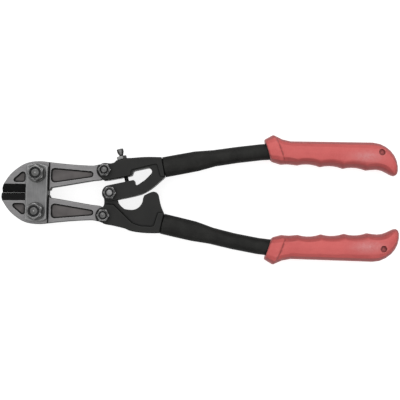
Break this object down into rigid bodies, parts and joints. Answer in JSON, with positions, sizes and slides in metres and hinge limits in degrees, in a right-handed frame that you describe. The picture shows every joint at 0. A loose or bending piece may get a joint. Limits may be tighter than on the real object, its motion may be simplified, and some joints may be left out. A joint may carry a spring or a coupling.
{
  "type": "bolt cutter",
  "caption": "Bolt cutter with bolted compound jaws, forked handle castings, tubular handles, an adjusting screw and moulded finger-groove grips.",
  "frame": {"origin": "centre of the tool's outline, on the surface that the rear jaw-bolt heads lie on", "axes": "+X along the tool from the jaws to the grips, +Y towards the handle with the adjusting screw, +Z along the pivots towards the nuts"},
  "size_m": [0.358, 0.1166, 0.0353],
  "materials": {
    "forged_steel": "dull grey forging, black on the ground cutting bevels",
    "fastener_steel": "plated",
    "nylon": "dark nylon",
    "black_paint": "satin black",
    "red_grip": "dusty red, moulded"
  },
  "bodies": {
    "straps": {"front_strap": "forged_steel", "rear_strap": "forged_steel", "upper_front_washer": "fastener_steel", "upper_rear_washer": "fastener_steel", "upper_jaw_bolt": "fastener_steel", "upper_jaw_nut": "fastener_steel", "upper_jaw_nut_insert": "nylon", "lower_front_washer": "fastener_steel", "lower_rear_washer": "fastener_steel", "lower_jaw_bolt": "fastener_steel", "lower_jaw_nut": "fastener_steel", "lower_jaw_nut_insert": "nylon"},
    "upper_jaw": {"upper_jaw": "forged_steel"},
    "lower_jaw": {"lower_jaw": "forged_steel"},
    "upper_handle": {"upper_handle_casting": "black_paint", "upper_handle_tube": "black_paint", "upper_grip": "red_grip", "upper_pivot_bolt": "fastener_steel", "upper_pivot_nut": "fastener_steel", "upper_pivot_nut_insert": "nylon", "centre_pivot_bolt": "fastener_steel", "centre_pivot_nut": "fastener_steel", "centre_pivot_nut_insert": "nylon"},
    "lower_handle": {"lower_handle_casting": "black_paint", "lower_handle_tube": "black_paint", "lower_grip": "red_grip", "lower_pivot_bolt": "fastener_steel", "lower_pivot_nut": "fastener_steel", "lower_pivot_nut_insert": "nylon"},
    "lock_nut": {"lock_nut": "fastener_steel"},
    "adjusting_screw": {"adjusting_screw": "fastener_steel"}
  },
  "joints": [
    {"name": "upper_jaw_pivot", "type": "hinge", "parent": "straps", "child": "upper_jaw", "pos_m": [-0.14688, 0.01466, 0.0163], "axis": [0, 0, 1], "range_deg": [-9, 0]},
    {"name": "lower_jaw_pivot", "type": "hinge", "parent": "straps", "child": "lower_jaw", "pos_m": [-0.14652, -0.01934, 0.0163], "axis": [0, 0, 1], "range_deg": [0, 9]},
    {"name": "upper_handle_pivot", "type": "hinge", "parent": "upper_jaw", "child": "upper_handle", "pos_m": [-0.08668, 0.02006, 0.0163], "axis": [0, 0, 1], "range_deg": [0, 56.2]},
    {"name": "lower_handle_pivot", "type": "hinge", "parent": "lower_jaw", "child": "lower_handle", "pos_m": [-0.0861, -0.02053, 0.0163], "axis": [0, 0, 1], "range_deg": [-56.25, 0]},
    {"name": "lock_nut_turn", "type": "hinge", "parent": "upper_handle", "child": "lock_nut", "pos_m": [-0.07263, 0.03266, 0.0163], "axis": [-0.2588, 0.9659, 0], "range_deg": [0, 90]},
    {"name": "adjusting_screw_turn", "type": "hinge", "parent": "upper_handle", "child": "adjusting_screw", "pos_m": [-0.07263, 0.03266, 0.0163], "axis": [-0.2588, 0.9659, 0], "range_deg": [-360, 360]}
  ],
  "couplings": [
    {"joint": "upper_jaw_pivot", "follows": "upper_handle_pivot", "ratio": -0.16},
    {"joint": "lower_jaw_pivot", "follows": "upper_handle_pivot", "ratio": 0.16},
    {"joint": "lower_handle_pivot", "follows": "upper_handle_pivot", "ratio": -1}
  ]
}
